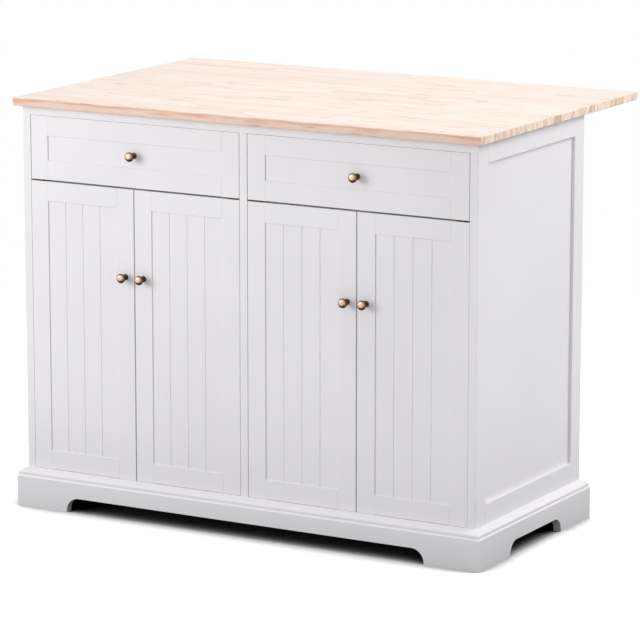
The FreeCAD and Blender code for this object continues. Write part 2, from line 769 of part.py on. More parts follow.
def door(name, left, hinge_side):
    """A framed door with pivot holes in its hinge stile and a knob on its free stile."""
    free_side = "right" if hinge_side == "left" else "left"
    across = {"left": size("pivot_inset"), "right": door_width - size("pivot_inset")}
    knob_across = {"left": size("front_frame_width") / 2,
                   "right": door_width - size("front_frame_width") / 2}[free_side]
    knob_up = door_height - size("knob_drop")
    hole_radius = size("pivot_pin_radius") + size("running_clearance")
    holes = [(free_side, knob_hole(f"{name}_screw_hole", knob_across, 0, knob_up, size("front_thickness")))]
    for place, level in (("bottom", as_size(0)), ("top", door_height - pivot_hole_depth)):
        holes.append((hinge_side, rod(f"{name}_{place}_pivot_hole",
                                      (across[hinge_side], size("pivot_setback"), level),
                                      "z", hole_radius, pivot_hole_depth)))
    stiles, rails = frame(name, door_width, door_levels, size("front_frame_width"),
                          size("front_thickness"), size("front_panel_recess"),
                          size("bead_panel_thickness"), holes)
    sub_part(f"{name}_frame", bind_base(group(f"{name}_frame_set", stiles + rails),
                                        left, front, door_bottom))
    bead_panel(f"{name}_panel", door_levels, left)
    knob(f"{name}_knob", left + knob_across, front, door_bottom + knob_up, size("front_thickness"))
    return left + across[hinge_side]


pivot_lines = []
stop_lines = []
DOORS = {"left": ("far_left_door", "inner_left_door"), "right": ("inner_right_door", "far_right_door")}
WALL_GAPS = {"left": size("stile_gap"), "right": size("partition_gap")}     # at each bay's left wall
for bay, wall in BAYS.items():
    first = wall + WALL_GAPS[bay]
    second = first + door_width + size("meeting_gap")
    pivot_lines.append(door(DOORS[bay][0], first, "left"))
    pivot_lines.append(door(DOORS[bay][1], second, "right"))
    stop_lines.append(wall + bay_width / 2)


def door_pivots():
    """Plates with a pin, under and over each door's hinge edge."""
    half, margin, reach = (size("pivot_plate_half_width"), size("pivot_plate_margin"),
                           size("pivot_pin_reach"))
    pieces = []
    for number, x in enumerate(pivot_lines):
        y = front + size("pivot_setback")
        lower_top = door_bottom - size("seat_clearance")
        lower = block(f"lower_pivot_plate_{number}", (x - half, front + margin, bottom_top),
                      (x + half, front + size("front_thickness") - margin, lower_top))
        lower_pin = rod(f"lower_pivot_pin_{number}", (x, y, bottom_top), "z", size("pivot_pin_radius"),
                        door_bottom + reach - bottom_top)
        upper_low = door_top + size("seat_clearance")
        upper = block(f"upper_pivot_plate_{number}", (x - half, front + margin, upper_low),
                      (x + half, front + size("pivot_plate_tail"), mid_rail_under))
        upper_pin = rod(f"upper_pivot_pin_{number}", (x, y, door_top - reach), "z",
                        size("pivot_pin_radius"), mid_rail_under - door_top + reach)
        pieces += [join(f"lower_pivot_{number}", [lower, lower_pin]),
                   join(f"upper_pivot_{number}", [upper, upper_pin])]
    sub_part("door_pivots", group("door_pivot_set", pieces))


door_pivots()
sub_part("door_stops", group("door_stop_pair", [
    block(f"door_stop_{number}",
          (middle - size("stop_block_width") / 2, behind_fronts,
           mid_rail_under - size("stop_block_height")),
          (middle + size("stop_block_width") / 2, behind_fronts + size("stop_block_depth"), mid_rail_under))
    for number, middle in enumerate(stop_lines)]))


# ---------------------------------------------------------------- drawers
def runner(name, wall, toward, box_bottom, box_back):
    """A fixed C channel on a wall and the slider in it; toward is +1 where the drawer is to the right."""
    low, start = box_bottom + size("runner_lift"), front + size("runner_setback")
    steel, lip = size("runner_steel"), size("runner_lip")
    deep, tall = size("runner_space") - size("runner_side_gap"), size("runner_height")
    gap = size("seat_clearance")

    def shape(kind, end, corners):
        body = new_body(f"{name}_{kind}")
        section = outline(body, f"{name}_{kind}_section", "XZ_Plane",
                          [(across * toward, up) for across, up in corners])
        extrude(body, "Pad", section, end - start, flip=True)
        return bind_base(body, wall, start, low)

    channel = shape("channel", back_inner - size("runner_back_gap"), [
        (0, 0), (deep, 0), (deep, lip), (deep - steel, lip), (deep - steel, steel),
        (steel, steel), (steel, tall - steel), (deep - steel, tall - steel), (deep - steel, tall - lip),
        (deep, tall - lip), (deep, tall), (0, tall)])
    neck = deep - steel - gap
    back_face = steel + gap * 2
    slider = shape("slider", box_back - size("slider_back_gap"), [
        (back_face, steel + gap), (neck, steel + gap), (neck, lip + gap), (size("runner_space"), lip + gap),
        (size("runner_space"), tall - lip - gap), (neck, tall - lip - gap), (neck, tall - steel - gap),
        (back_face, tall - steel - gap)])
    return channel, slider


def drawer(side):
    """A framed drawer front, its box, its knob and its runners."""
    name = f"{side}_drawer"
    left = BAYS[side] + size("drawer_side_gap")
    height, edge = size("drawer_front_height"), size("front_frame_width")
    levels = (as_size(0), as_size(0), edge, height - edge, height, height)
    recess, panel_thickness = size("front_panel_recess"), size("drawer_panel_thickness")
    stiles, rails = frame(name, drawer_width, levels, edge, size("front_thickness"), recess,
                          panel_thickness)
    sub_part(f"{name}_frame", bind_base(group(f"{name}_frame_set", stiles + rails),
                                        left, front, drawer_bottom))
    low, high = panel_corners(drawer_width, levels, edge)
    board = block(f"{name}_panel_board", (left + low[0], front + recess, drawer_bottom + low[1]),
                  (left + high[0], front + recess + panel_thickness, drawer_bottom + high[1]))
    hole = knob_hole(f"{name}_screw_hole", left + drawer_width / 2, front + recess,
                     drawer_bottom + height / 2, panel_thickness)
    sub_part(f"{name}_panel", carve(f"{name}_panel_cut", board, [hole]))
    knob(f"{name}_knob", left + drawer_width / 2, front + recess, drawer_bottom + height / 2,
         panel_thickness)

    wall, far_wall = BAYS[side], BAYS[side] + bay_width
    space, thick = size("runner_space"), size("box_board")
    box_low = mid_rail_top + size("box_lift")
    box_high = box_low + size("box_height")
    box_front = front + size("front_thickness")
    box_back = back_inner - size("box_back_gap")
    floor_low = box_low + size("box_bottom_lift")
    floor_high = floor_low + size("box_bottom_thickness")
    groove, slack = size("box_groove_depth"), size("panel_face_clearance")
    sides = []
    for place, low_x, groove_x in (("left", wall + space, wall + space + thick - groove),
                                   ("right", far_wall - space - thick, far_wall - space - thick)):
        plank = block(f"{name}_{place}_side_board", (low_x, box_front, box_low),
                      (low_x + thick, box_back, box_high))
        slot = block(f"{name}_{place}_side_groove", (groove_x, box_front, floor_low - slack),
                     (groove_x + groove, box_back, floor_high + slack))
        sides.append(carve(f"{name}_{place}_side", plank, [slot]))
    sub_part(f"{name}_sides", group(f"{name}_side_pair", sides))
    inside_left, inside_right = wall + space + thick, far_wall - space - thick
    sub_part(f"{name}_back", block(f"{name}_back_board",
                                   (inside_left, box_back - thick, floor_high + slack),
                                   (inside_right, box_back, box_high)))
    reach = groove - size("panel_edge_clearance")
    sub_part(f"{name}_bottom", block(f"{name}_bottom_board", (inside_left - reach, box_front, floor_low),
                                     (inside_right + reach, box_back, floor_high)))
    left_runner = runner(f"{name}_left_runner", wall, 1, box_low, box_back)
    right_runner = runner(f"{name}_right_runner", far_wall, -1, box_low, box_back)
    sub_part(f"{name}_fixed_runners", group(f"{name}_channel_pair", [left_runner[0], right_runner[0]]))
    sub_part(f"{name}_sliders", group(f"{name}_slider_pair", [left_runner[1], right_runner[1]]))


drawer("left")
drawer("right")


# ---------------------------------------------------------------- folding leaf brackets
pivot_y, pivot_z = seam, worktop_under - size("leaf_pivot_drop")
strut_base_z = pivot_z - size("strut_pivot_drop")
wall_arm_half = size("strut_half_width") + size("strut_side_gap") + size("wall_arm_steel")
arm_inner = wall_arm_half + size("arm_side_gap")
arm_outer = arm_inner + size("table_arm_steel")
table_arm_reach = size("seam_gap") + size("leaf_depth") - size("table_arm_end_gap")
strut_length = table_arm_reach - size("slot_end_gap") - size("strut_pivot_drop")
tip_reach = leg(strut_length, size("strut_pivot_drop"))


def cross_pin(name, x, y, z, radius, half_length, head=False):
    """A pin along X, centred on a bracket, with rivet heads where it has room for them."""
    shank = rod(f"{name}_shank", (x - half_length, y, z), "x", radius, half_length * 2)
    if not head:
        return shank
    cap, wide = size("pin_head"), radius + size("pin_head_extra")
    return join(name, [shank] + [
        rod(f"{name}_head_{side}", (start, y, z), "x", wide, cap)
        for side, start in (("a", x - half_length), ("b", x + half_length - cap))])


def wall_arm(name, x):
    """The channel on the carcass back that carries the leaf's pivot and the strut's."""
    half, steel = wall_arm_half, size("wall_arm_steel")
    deep, top = pivot_y - back + size("wall_arm_top"), pivot_z + size("wall_arm_top")
    low = strut_base_z - strut_length - size("wall_arm_foot")
    body = new_body(name)
    profile = outline(body, f"{name}_profile", "YZ_Plane", [
        (0, low), (size("wall_arm_foot_depth"), low),
        (size("wall_arm_foot_depth"), low + size("wall_arm_taper_low")),
        (deep, low + size("wall_arm_taper_high")), (deep, top), (0, top)])
    extrude(body, "Pad", profile, half * 2, side="Symmetric")
    hollow = outline(body, f"{name}_hollow", "YZ_Plane", rectangle((steel, low), (deep, top)))
    extrude(body, "Pocket", hollow, (half - steel) * 2, side="Symmetric")
    for hole, drop, radius in (("leaf", as_size(0), size("leaf_pivot_radius")),
                               ("strut", size("strut_pivot_drop"), size("strut_pin_radius"))):
        bore = body.newObject("PartDesign::SubtractiveCylinder", f"{name}_{hole}_bore")
        bore.AttachmentSupport = (plane(body, "YZ_Plane"), [""])
        bore.MapMode = "FlatFace"
        bind(bore, "Radius", radius + size("running_clearance"))
        bind(bore, "Height", half * 2)
        bind(bore, "AttachmentOffset.Base.x", pivot_y - back)
        bind(bore, "AttachmentOffset.Base.y", pivot_z - drop)
        bind(bore, "AttachmentOffset.Base.z", -half)
    round_edges(body, f"{name}_ears", size("wall_arm_top") - size("running_clearance"),
                lambda edge: near(edge.CenterOfMass.y, deep) and near(edge.CenterOfMass.z, top))
    return bind_base(body, x, back, 0)


def slot_face():
    """The slot that the strut's pin follows, in the raised arm: along the arm, and down.

    The strut turns at a steady ratio to the leaf, so the slot is the path of its pin seen from
    the arm, widened by the pin's radius and a clearance."""
    drop, length = size("strut_pivot_drop").number, strut_length.number
    start = math.acos(drop / length)
    ratio = (math.pi - start) / (math.pi / 2)
    half = size("strut_pin_radius").number + size("slot_clearance").number

    def pin(leaf):
        strut = start + ratio * leaf
        across = length * math.sin(strut)
        up = length * math.cos(strut) - drop
        return FreeCAD.Vector(0, across * math.cos(leaf) - up * math.sin(leaf),
                              across * math.sin(leaf) + up * math.cos(leaf))

    turns = [math.pi / 2 * step / SLOT_STEPS for step in range(SLOT_STEPS + 1)]
    path = Part.BSplineCurve()
    path.interpolate([pin(turn) for turn in turns])
    first, last = path.FirstParameter, path.LastParameter
    marks = [first + (last - first) * step / (2 * SLOT_STEPS) for step in range(2 * SLOT_STEPS + 1)]

    def beside(mark, sign):
        heading = path.tangent(mark)[0]
        return path.value(mark) + FreeCAD.Vector(0, -heading.z, heading.y) * (half * sign)

    edges = []
    for sign in (1, -1):
        wall = Part.BSplineCurve()
        wall.interpolate([beside(mark, sign) for mark in marks])
        edges.append(wall.toShape())
    for mark, outward in ((first, -1), (last, 1)):
        crown = path.value(mark) + path.tangent(mark)[0] * (half * outward)
        edges.append(Part.Arc(beside(mark, 1), crown, beside(mark, -1)).toShape())
    return Part.Face(Part.Wire(Part.__sortEdges__(edges)))


def table_arm(name, x):
    """The channel under the leaf: two flanges with a curved slot, joined by a web."""
    deep, heel, reach = size("table_arm_depth"), size("table_arm_heel"), table_arm_reach
    drop, steel, web_start = size("leaf_pivot_drop"), size("table_arm_steel"), size("table_arm_web_gap")
    body = new_body(f"{name}_channel")
    profile = outline(body, f"{name}_profile", "YZ_Plane", [
        (-heel, -heel), (heel, -heel), (tip_reach - size("table_arm_deep_before"), -deep),
        (reach - size("table_arm_nose"), -deep), (reach, -heel), (reach, drop), (web_start, drop),
        (web_start, heel), (-heel, heel)])
    extrude(body, "Pad", profile, arm_outer * 2, side="Symmetric")
    hollow = outline(body, f"{name}_hollow", "YZ_Plane",
                     rectangle((-heel, -deep), (reach, drop - steel)))
    extrude(body, "Pocket", hollow, arm_inner * 2, side="Symmetric")
    bore = body.newObject("PartDesign::SubtractiveCylinder", f"{name}_bore")
    bore.AttachmentSupport = (plane(body, "YZ_Plane"), [""])
    bore.MapMode = "FlatFace"
    bind(bore, "Radius", size("leaf_pivot_radius") + size("running_clearance"))
    bind(bore, "Height", arm_outer * 2)
    bind(bore, "AttachmentOffset.Base.z", -arm_outer)
    round_edges(body, f"{name}_heel", heel - size("running_clearance"),
                lambda edge: near(edge.CenterOfMass.y, -heel) and near(abs(edge.CenterOfMass.z), heel))
    slot = doc.addObject("Part::Feature", f"{name}_slot")
    slot.Shape = slot_face().extrude(FreeCAD.Vector(arm_outer.number * 2, 0, 0))
    bind_base(slot, -arm_outer, 0, 0, FreeCAD.Rotation())
    return bind_base(carve(name, body, [slot]), x, pivot_y, pivot_z)


def strut(name, x):
    """The link from the wall arm to the slot: a channel with round ends, along its own +Z."""
    half, steel, round_end = size("strut_half_width"), size("strut_steel"), size("strut_radius")
    length = strut_length
    spine = block(f"{name}_spine", (-half, -round_end, 0), (half, round_end, length))
    ends = [rod(f"{name}_{place}_end", (-half, 0, level), "x", round_end, half * 2)
            for place, level in (("low", as_size(0)), ("high", length))]
    hollow = block(f"{name}_hollow", (steel - half, steel - round_end, -round_end),
                   (half - steel, round_end, length + round_end))
    bores = [rod(f"{name}_{place}_bore", (-half, 0, level), "x",
                 size("strut_pin_radius") + size("running_clearance"), half * 2)
             for place, level in (("low", as_size(0)), ("high", length))]
    link = carve(name, join(f"{name}_blank", [spine] + ends), [hollow] + bores)
    lean = math.degrees(math.acos(size("strut_pivot_drop").number / length.number))
    return bind_base(link, x, pivot_y, strut_base_z, FreeCAD.Rotation(FreeCAD.Vector(1, 0, 0), -lean))


def leaf_brackets():
    """Both folding brackets, piece by piece."""
    sets = {"leaf_wall_arms": [], "leaf_pivot_pins": [], "leaf_table_arms": [], "leaf_struts": [],
            "strut_tip_pins": []}
    pin_half = arm_outer + size("pin_head_gap") + size("pin_head")
    for side, x in (("left", -size("bracket_offset")), ("right", size("bracket_offset"))):
        sets["leaf_wall_arms"].append(wall_arm(f"{side}_wall_arm", x))
        sets["leaf_table_arms"].append(table_arm(f"{side}_table_arm", x))
        sets["leaf_struts"].append(strut(f"{side}_strut", x))
        sets["leaf_pivot_pins"] += [
            cross_pin(f"{side}_leaf_pin", x, pivot_y, pivot_z, size("leaf_pivot_radius"), pin_half,
                      head=True),
            cross_pin(f"{side}_strut_pin", x, pivot_y, strut_base_z, size("strut_pin_radius"),
                      wall_arm_half)]
        sets["strut_tip_pins"].append(cross_pin(f"{side}_tip_pin", x, pivot_y + tip_reach, pivot_z,
                                                size("strut_pin_radius"), pin_half, head=True))
    for node, pieces in sets.items():
        sub_part(node, group(f"{node}_pair", pieces))


leaf_brackets()


# ---------------------------------------------------------------- check and write
doc.recompute()
for thing in doc.Objects:
    faults = {"Invalid", "Error"} & set(thing.State)
    if faults:
        raise RuntimeError(f"{thing.Label} failed: {sorted(faults)}")
for thing in sub_parts:
    if thing.Shape.isNull() or not thing.Shape.isValid() or thing.Shape.Volume <= 0:
        raise RuntimeError(f"{thing.Label} has no sound shape")

os.makedirs("parts", exist_ok=True)
for thing in sub_parts:
    thing.Shape.exportStep(f"parts/{thing.Label}.step")
whole = Part.makeCompound([thing.Shape for thing in sub_parts]).BoundBox
print(f"{len(sub_parts)} sub-parts, {whole.XLength:.1f} x {whole.YLength:.1f} x {whole.ZLength:.1f} mm")
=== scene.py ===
import math

import bpy
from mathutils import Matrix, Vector


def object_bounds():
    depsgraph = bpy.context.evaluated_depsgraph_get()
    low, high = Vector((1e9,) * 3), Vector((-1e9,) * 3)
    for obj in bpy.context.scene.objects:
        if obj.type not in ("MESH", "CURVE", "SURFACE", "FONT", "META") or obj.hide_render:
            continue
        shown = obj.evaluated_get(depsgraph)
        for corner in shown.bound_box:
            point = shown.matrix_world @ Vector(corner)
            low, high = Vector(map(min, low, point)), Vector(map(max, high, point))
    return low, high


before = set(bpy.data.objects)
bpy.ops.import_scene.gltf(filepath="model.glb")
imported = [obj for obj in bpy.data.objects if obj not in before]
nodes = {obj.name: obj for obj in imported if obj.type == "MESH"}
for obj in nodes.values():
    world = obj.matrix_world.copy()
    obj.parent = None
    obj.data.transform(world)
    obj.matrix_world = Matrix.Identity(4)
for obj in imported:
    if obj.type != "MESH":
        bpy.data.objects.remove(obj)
cad_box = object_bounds()
scene = bpy.context.scene

X, Y, Z = 0, 1, 2
MM = 0.001
KNOB_TIP = cad_box[0][Y]            # the foremost place of all, on the knobs of the doors
TOP_HEIGHT = cad_box[1][Z]


# ---------------------------------------------------------------- node trees
class Graph:
    """A node tree that is filled node by node."""

    def __init__(self, tree):
        self.tree = tree

    def add(self, kind, sockets=(), **settings):
        """A node with its settings, and its inputs by name or number."""
        made = self.tree.nodes.new(kind)
        for name, value in settings.items():
            setattr(made, name, value)
        for socket, value in dict(sockets).items():
            self.feed(made.inputs[socket], value)
        return made

    def feed(self, socket, value):
        """A link or a plain value into a socket."""
        if isinstance(value, bpy.types.NodeSocket):
            self.tree.links.new(value, socket)
        else:
            socket.default_value = value

    def calc(self, operation, first, second=0.0, third=0.0):
        """One sum."""
        sockets = {0: first, 1: second, 2: third}
        return self.add("ShaderNodeMath", sockets, operation=operation).outputs[0]

    def times(self, first, second):
        """A product."""
        return self.calc("MULTIPLY", first, second)

    def remap(self, value, low, high, to_low=0.0, to_high=1.0, smooth=True):
        """A value moved from one range to another, and kept in it."""
        return self.add("ShaderNodeMapRange", {
            0: value, 1: low, 2: high, 3: to_low, 4: to_high},
            interpolation_type="SMOOTHSTEP" if smooth else "LINEAR").outputs[0]

    def vector_sum(self, operation, first, second=(0.0, 0.0, 0.0)):
        """One sum of vectors, as the node's outputs."""
        return self.add("ShaderNodeVectorMath", {0: first, 1: second}, operation=operation).outputs


class Finish(Graph):
    """A procedural material in the object's own coordinates."""

    def __init__(self, name, **sockets):
        self.material = bpy.data.materials.new(name)
        self.material.use_nodes = True
        super().__init__(self.material.node_tree)
        self.shader = self.tree.nodes["Principled BSDF"]
        self.wear(**sockets)
        here = self.add("ShaderNodeTexCoord")
        self.place, self.normal = here.outputs["Object"], here.outputs["Normal"]

    def axes(self, vector=None):
        """X, Y and Z of a vector, or of the place."""
        return self.add("ShaderNodeSeparateXYZ", {0: vector or self.place}).outputs

    def facing(self, axis):
        """How far the surface faces along one axis, from -1 to 1."""
        return self.axes(self.normal)[axis]

    def vector(self, x, y, z):
        """A vector from three numbers or links."""
        return self.add("ShaderNodeCombineXYZ", {X: x, Y: y, Z: z}).outputs[0]

    def noise(self, scale, vector=None, detail=2.0, roughness=0.55, distortion=0.0):
        """Noise from 0 to 1, as so many lumps to a metre."""
        return self.add("ShaderNodeTexNoise", {
            "Vector": vector or self.place, "Scale": scale, "Detail": detail,
            "Roughness": roughness, "Distortion": distortion}).outputs[0]

    def grain(self, scales, shift=None, **settings):
        """Noise with its own lumps to a metre along X, Y and Z, after a shift of the place."""
        start = self.place if shift is None else self.vector_sum("ADD", self.place, shift)[0]
        return self.noise(1.0, self.vector_sum("MULTIPLY", start, scales)[0], **settings)

    def chances(self, x, y, z):
        """Three random numbers from 0 to 1 for each set of three whole numbers."""
        drawn = self.add("ShaderNodeTexWhiteNoise", {"Vector": self.vector(x, y, z)},
                         noise_dimensions="3D")
        return self.axes(drawn.outputs["Color"])

    def blend(self, share, first, second):
        """Two colours mixed."""
        made = self.add("ShaderNodeMix", {0: share}, data_type="RGBA")
        self.feed(made.inputs[6], first)
        self.feed(made.inputs[7], second)
        return made.outputs[2]

    def bump(self, height, depth, strength, under=None):
        """A bump of a real depth in metres, over an earlier one."""
        sockets = {"Height": height, "Distance": depth, "Strength": strength}
        if under is not None:
            sockets["Normal"] = under
        return self.add("ShaderNodeBump", sockets).outputs[0]

    def wear(self, **sockets):
        """Links or values into the shader, by socket name with _ for a space."""
        for socket, value in sockets.items():
            self.feed(self.shader.inputs[socket.replace("_", " ")], value)
        return self.material


def rgb(red, green, blue):
    """A colour written as it shows on a screen, 0 to 255, made linear."""
    def linear(part):
        part /= 255
        return part / 12.92 if part <= 0.04045 else ((part + 0.055) / 1.055) ** 2.4
    return (linear(red), linear(green), linear(blue), 1.0)


# ---------------------------------------------------------------- paint
def white_paint():
    """Satin paint sprayed on wood: a slow drift of tone, a faint orange peel, soft sheen."""
    white, shade, roughness = rgb(234, 232, 235), rgb(231, 229, 232), 0.42
    finish = Finish("white_paint")
    drift = finish.noise(3.0)
    speck = finish.noise(160.0)
    tone = finish.blend(finish.remap(drift, 0.35, 0.65), shade, white)
    tone = finish.blend(finish.remap(speck, 0.3, 0.7, 0.0, 0.05), tone, shade)
    rough = finish.remap(speck, 0.25, 0.75, roughness - 0.04, roughness + 0.05)
    upright_grain = finish.grain((240.0, 240.0, 24.0), detail=4.0)
    peel = finish.noise(520.0)
    relief = finish.bump(upright_grain, 0.05 * MM, 0.35)
    relief = finish.bump(peel, 0.03 * MM, 0.5, relief)
    return finish.wear(Base_Color=tone, Roughness=rough, Normal=relief)


def powder_coat():
    """White powder coat on steel."""
    finish = Finish("bracket_white")
    peel = finish.noise(700.0)
    cloud = finish.noise(25.0)
    tone = finish.blend(finish.remap(cloud, 0.35, 0.65), rgb(226, 227, 229), rgb(233, 233, 235))
    return finish.wear(Base_Color=tone, Roughness=finish.remap(peel, 0.3, 0.7, 0.34, 0.46),
                       Normal=finish.bump(peel, 0.06 * MM, 0.6))


# ---------------------------------------------------------------- glued wood staves
PALE, SAP, ROSE = rgb(232, 214, 202), rgb(228, 205, 190), rgb(212, 175, 152)
HEART, RUST = rgb(168, 120, 91), rgb(208, 142, 110)
LONG_EDGE, END_CUT = rgb(242, 192, 162), rgb(250, 231, 213)
SHORTEST_STAVE, LONGEST_STAVE = 190.0 * MM, 360.0 * MM
FEWEST_RINGS, MOST_RINGS = 90.0, 190.0      # to a metre
RING_LEAN = 0.9                             # at most, to either side in all
RING_WANDER = 30.0 * MM
APART = (37.0, 11.0, 5.0)                   # metres that set the staves' timbers apart
GLUE_LINE, GLUE_LINE_FADE = 0.1 * MM, 0.5 * MM
FLUSH_LOW, FLUSH_HIGH = TOP_HEIGHT - 13.0 * MM, TOP_HEIGHT - 2.0 * MM


class Staves(Finish):
    """Lacquered boards glued from staves that run along X, with end grain at their ends."""

    def __init__(self, name, joint, width, seed):
        """joint is the place in Y of one glue line, and seed picks the timber."""
        super().__init__(name, Coat_Weight=0.7, Coat_Roughness=0.25, Specular_IOR_Level=0.25)
        x, y, z = self.axes()
        self.width = width
        self.across = self.calc("DIVIDE", self.calc("SUBTRACT", y, joint), width)
        row = self.calc("FLOOR", self.across)
        row_luck = self.chances(row, seed, 3.0)
        self.length = self.remap(row_luck[0], 0.0, 1.0, SHORTEST_STAVE, LONGEST_STAVE, smooth=False)

        # The long front edge is one stave from end to end, so no upright joint shows there.
        self.is_edge = self.calc("LESS_THAN", self.facing(Y), -0.5)
        along = self.calc("ADD", self.calc("DIVIDE", x, self.length), self.times(row_luck[1], 9.0))
        self.along = self.calc("MULTIPLY_ADD", self.is_edge, self.calc("SUBTRACT", 0.5, along), along)
        self.luck = self.chances(row, self.calc("FLOOR", self.along), seed)

        # Each stave is its own stretch of timber: growth rings nearly upright, wandering along it.
        self.shift = self.vector(*(self.times(self.luck[axis], APART[axis]) for axis in (X, Y, Z)))
        lean = self.times(self.calc("SUBTRACT", self.luck[2], 0.5), RING_LEAN)
        wander = self.times(self.grain((2.2, 24.0, 24.0), self.shift), RING_WANDER)
        ring_place = self.calc("ADD", self.calc("MULTIPLY_ADD", z, lean, y), wander)
        rings = self.remap(self.luck[1], 0.0, 1.0, FEWEST_RINGS, MOST_RINGS, smooth=False)
        self.ring = self.noise(1.0, self.vector(self.times(x, 1.1), self.times(ring_place, rings),
                                                self.times(self.luck[0], 61.0)),
                               detail=3.0, roughness=0.6)
        self.streak = self.grain((10.0, 130.0, 130.0), self.shift, detail=3.0)
        self.pores = self.grain((60.0, 1500.0, 1500.0), self.shift)

    def long_grain(self):
        """Pale timber with rosy rings and blushes, a few dark streaks, and fine pores."""
        blush = self.grain((8.0, 62.0, 62.0), self.shift)
        tone = self.blend(self.remap(self.luck[0], 0.1, 0.9), PALE, SAP)
        tone = self.blend(self.remap(self.luck[2], 0.78, 0.98, 0.0, 0.3), tone, ROSE)
        tone = self.blend(self.remap(self.ring, 0.46, 0.72, 0.0, 0.3), tone, ROSE)
        tone = self.blend(self.remap(blush, 0.56, 0.72, 0.0, 0.75), tone, ROSE)
        tone = self.blend(self.remap(self.streak, 0.62, 0.72, 0.0, 0.85), tone, HEART)
        return self.blend(self.remap(self.pores, 0.60, 0.82, 0.0, 0.25), tone, HEART)

    def long_edge(self, tone):
        """The staves' sides, deeper in colour, with reddish stretches under the arris."""
        stretch = self.grain((9.0, 30.0, 130.0), self.shift)
        height = self.remap(self.axes()[Z], FLUSH_LOW, FLUSH_HIGH, -0.10, 0.08)
        flush = self.remap(self.calc("ADD", stretch, height), 0.50, 0.68, 0.0, 0.6)
        tone = self.blend(self.times(self.is_edge, 0.30), tone, LONG_EDGE)
        return self.blend(self.times(self.is_edge, flush), tone, RUST)

    def end_grain(self, seam):
        """The sawn ends: every ring is darker there, with fine dots and a few rusty blocks."""
        dots = self.noise(1500.0, detail=1.0)
        tone = self.blend(self.remap(self.ring, 0.40, 0.64, 0.0, 0.70), END_CUT, ROSE)
        tone = self.blend(self.remap(self.ring, 0.58, 0.70, 0.0, 0.50), tone, RUST)
        tone = self.blend(self.remap(self.luck[1], 0.76, 0.92, 0.0, 0.55), tone, RUST)
        tone = self.blend(self.remap(dots, 0.45, 0.75, 0.0, 0.15), tone, HEART)
        return self.blend(self.times(seam, 0.5), tone, HEART)

    def glue_lines(self):
        """1 on the lines between staves and at their ends, and 0 elsewhere."""
        def inward(place, size):
            share = self.calc("FRACT", place)
            return self.times(self.calc("MINIMUM", share, self.calc("SUBTRACT", 1.0, share)), size)

        nearest = self.calc("MINIMUM", inward(self.across, self.width), inward(self.along, self.length))
        return self.remap(nearest, GLUE_LINE, GLUE_LINE_FADE, 1.0, 0.0)

    def dressed(self):
        """The finished material."""
        seam = self.glue_lines()
        tone = self.long_edge(self.long_grain())
        tone = self.blend(self.times(seam, 0.2), tone, HEART)
        is_end = self.remap(self.calc("ABSOLUTE", self.facing(X)), 0.7, 0.95)
        tone = self.blend(is_end, tone, self.end_grain(seam))
        relief = self.bump(self.remap(self.pores, 0.55, 0.85, 1.0, 0.0), 0.04 * MM, 0.5)
        relief = self.bump(self.calc("SUBTRACT", 1.0, seam), 0.08 * MM, 0.6, relief)
        return self.wear(Base_Color=tone, Roughness=self.remap(self.streak, 0.3, 0.8, 0.42, 0.55),
                         Normal=relief)


# ---------------------------------------------------------------- inner woods
PLY_PAIR = 2.4 * MM                 # a light ply and a dark one


def plywood(name, ply_axis, grain_axis):
    """Birch plywood: fine straight grain on its faces, plies on the edges that look upwards."""
    finish = Finish(name)
    fine, broad = [260.0] * 3, [260.0 / 9] * 3
    fine[grain_axis], broad[grain_axis] = 9.0, 1.0
    lines = finish.grain(fine, detail=4.0, distortion=0.3)
    figure = finish.grain(broad)
    tone = finish.blend(finish.remap(figure, 0.3, 0.7), rgb(232, 207, 170), rgb(219, 188, 146))
    tone = finish.blend(finish.remap(lines, 0.5, 0.8, 0.0, 0.4), tone, rgb(187, 148, 104))
    ply = finish.calc("SINE", finish.times(finish.axes()[ply_axis], math.tau / PLY_PAIR))
    is_edge = finish.remap(finish.calc("ABSOLUTE", finish.facing(Z)), 0.8, 0.95)
    edge = finish.times(is_edge, finish.remap(ply, -0.2, 0.4))
    tone = finish.blend(finish.times(edge, 0.6), tone, rgb(160, 116, 74))
    return finish.wear(Base_Color=tone, Roughness=finish.remap(lines, 0.3, 0.8, 0.4, 0.55),
                       Normal=finish.bump(lines, 0.04 * MM, 0.5))


def pine():
    """Sawn pine that stands upright, with rings on its ends."""
    finish = Finish("bare_pine")
    x, y = finish.axes()[:Z]
    wave = finish.grain((14.0, 14.0, 2.0))
    slant = finish.times(finish.calc("ADD", x, y), 900.0)
    rings = finish.calc("SINE", finish.calc("MULTIPLY_ADD", wave, 26.0, slant))
    fibre = finish.grain((900.0, 900.0, 18.0), detail=3.0)
    tone = finish.blend(finish.remap(rings, -0.4, 0.9, 0.0, 0.7), rgb(229, 198, 148), rgb(190, 141, 86))
    tone = finish.blend(finish.remap(fibre, 0.45, 0.75, 0.0, 0.35), tone, rgb(160, 112, 66))
    return finish.wear(Base_Color=tone, Roughness=finish.remap(fibre, 0.3, 0.8, 0.65, 0.8),
                       Normal=finish.bump(fibre, 0.15 * MM, 0.6))


# ---------------------------------------------------------------- metals
RUBBED_DEPTH, DARK_DEPTH = 9.5 * MM, 13.5 * MM      # behind the tip of a knob


